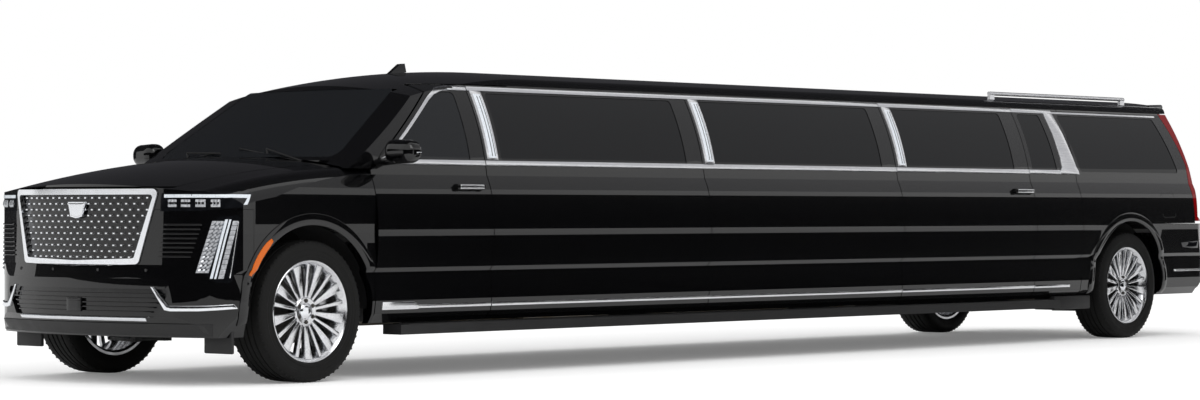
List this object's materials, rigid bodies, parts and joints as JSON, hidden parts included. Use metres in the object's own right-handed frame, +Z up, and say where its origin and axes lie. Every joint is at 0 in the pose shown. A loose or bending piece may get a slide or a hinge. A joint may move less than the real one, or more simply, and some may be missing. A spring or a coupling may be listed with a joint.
{
  "type": "stretch limousine on a sport utility body",
  "caption": "Long black stretch limousine with a sport utility body, opening side doors, hood and tailgate, steered front wheels and a studded chrome grille.",
  "frame": {"origin": "on the ground under the middle of the overall length", "axes": "+X forward, +Y to the vehicle's left, +Z up"},
  "size_m": [11.3198, 2.524, 1.9659],
  "materials": {
    "body_paint": "gloss",
    "chrome_trim": "polished",
    "polished_wheel": "polished",
    "black_trim": "satin",
    "gloss_black": "gloss",
    "tinted_glass": "polished",
    "clear_glass": "polished",
    "lamp_lens": "polished",
    "red_lens": "polished",
    "tyre_rubber": "matte",
    "frame_steel": "satin",
    "cast_iron": "matte",
    "exhaust_steel": "satin",
    "dash_plastic": "matte",
    "seat_leather": "satin",
    "floor_liner": "matte"
  },
  "bodies": {
    "chassis": {"front_fenders": "body_paint", "side_panels": "body_paint", "quarter_panels": "body_paint", "roof_panel": "body_paint", "front_bumper": "body_paint", "rear_bumper": "body_paint", "side_glass": "tinted_glass", "windscreen": "clear_glass", "grille_frame": "chrome_trim", "roof_rails": "chrome_trim", "grille": "gloss_black", "lower_grille": "gloss_black", "roof_antenna": "gloss_black", "cowl_panel": "black_trim", "running_boards": "black_trim", "headlamps": "lamp_lens", "upright_lamps": "lamp_lens", "tail_lamps": "red_lens", "rear_hub_carriers": "cast_iron", "engine_block": "cast_iron", "driveline": "cast_iron", "chassis_frame": "frame_steel", "hitch_receiver": "frame_steel", "suspension_arms": "frame_steel", "fuel_tank": "frame_steel", "floor_pan": "floor_liner", "exhaust": "exhaust_steel", "dashboard": "dash_plastic", "partition_and_bar": "dash_plastic", "front_seats": "seat_leather", "lounge_seats": "seat_leather"},
    "front_door_left": {"front_door_left": "body_paint", "front_door_glass_left": "clear_glass", "mirror_left": "body_paint"},
    "wheel_front_left": {"tyre_front_left": "tyre_rubber", "rim_front_left": "polished_wheel", "brake_disc_front_left": "cast_iron"},
    "front_door_right": {"front_door_right": "body_paint", "front_door_glass_right": "clear_glass", "mirror_right": "body_paint"},
    "wheel_front_right": {"tyre_front_right": "tyre_rubber", "rim_front_right": "polished_wheel", "brake_disc_front_right": "cast_iron"},
    "rear_door_left": {"rear_door_left": "body_paint", "rear_door_glass_left": "tinted_glass"},
    "wheel_rear_left": {"tyre_rear_left": "tyre_rubber", "rim_rear_left": "polished_wheel", "brake_disc_rear_left": "cast_iron"},
    "rear_door_right": {"rear_door_right": "body_paint", "rear_door_glass_right": "tinted_glass"},
    "wheel_rear_right": {"tyre_rear_right": "tyre_rubber", "rim_rear_right": "polished_wheel", "brake_disc_rear_right": "cast_iron"},
    "knuckle_left": {"steering_knuckle_left": "cast_iron"},
    "knuckle_right": {"steering_knuckle_right": "cast_iron"},
    "hood": {"hood": "body_paint"},
    "tailgate": {"tailgate": "body_paint", "tailgate_glass": "tinted_glass"},
    "steering_wheel": {"steering_wheel": "dash_plastic"}
  },
  "joints": [
    {"name": "front_door_left_hinge", "type": "hinge", "parent": "chassis", "child": "front_door_left", "pos_m": [4.33, 1.012, 0.85], "axis": [0, 0, -1], "range_deg": [0, 65]},
    {"name": "rear_door_left_hinge", "type": "hinge", "parent": "chassis", "child": "rear_door_left", "pos_m": [-1.072, 1.012, 0.85], "axis": [0, 0, -1], "range_deg": [0, 65]},
    {"name": "steer_left", "type": "hinge", "parent": "chassis", "child": "knuckle_left", "pos_m": [4.7, 0.77, 0.419], "axis": [0, 0, 1], "range_deg": [-32, 32]},
    {"name": "wheel_front_left_spin", "type": "hinge", "parent": "knuckle_left", "child": "wheel_front_left", "pos_m": [4.7, 0.868, 0.419], "axis": [0, 1, 0], "continuous": true},
    {"name": "wheel_rear_left_spin", "type": "hinge", "parent": "chassis", "child": "wheel_rear_left", "pos_m": [-4.3, 0.868, 0.419], "axis": [0, 1, 0], "continuous": true},
    {"name": "front_door_right_hinge", "type": "hinge", "parent": "chassis", "child": "front_door_right", "pos_m": [4.33, -1.012, 0.85], "axis": [0, 0, 1], "range_deg": [0, 65]},
    {"name": "rear_door_right_hinge", "type": "hinge", "parent": "chassis", "child": "rear_door_right", "pos_m": [-1.072, -1.012, 0.85], "axis": [0, 0, 1], "range_deg": [0, 65]},
    {"name": "steer_right", "type": "hinge", "parent": "chassis", "child": "knuckle_right", "pos_m": [4.7, -0.77, 0.419], "axis": [0, 0, 1], "range_deg": [-32, 32]},
    {"name": "wheel_front_right_spin", "type": "hinge", "parent": "knuckle_right", "child": "wheel_front_right", "pos_m": [4.7, -0.868, 0.419], "axis": [0, 1, 0], "continuous": true},
    {"name": "wheel_rear_right_spin", "type": "hinge", "parent": "chassis", "child": "wheel_rear_right", "pos_m": [-4.3, -0.868, 0.419], "axis": [0, 1, 0], "continuous": true},
    {"name": "hood_hinge", "type": "hinge", "parent": "chassis", "child": "hood", "pos_m": [4.23, 0, 1.33], "axis": [0, -1, 0], "range_deg": [0, 45]},
    {"name": "tailgate_hinge", "type": "hinge", "parent": "chassis", "child": "tailgate", "pos_m": [-5.08, 0, 1.9], "axis": [0, 1, 0], "range_deg": [0, 85]},
    {"name": "steering_wheel_turn", "type": "hinge", "parent": "chassis", "child": "steering_wheel", "pos_m": [3.68, 0.4, 1.085], "axis": [-0.9064, 0, 0.4225], "range_deg": [-480.5, 480.5]}
  ],
  "couplings": [
    {"joint": "steer_right", "follows": "steer_left", "ratio": 1},
    {"joint": "steering_wheel_turn", "follows": "steer_left", "ratio": 15}
  ]
}
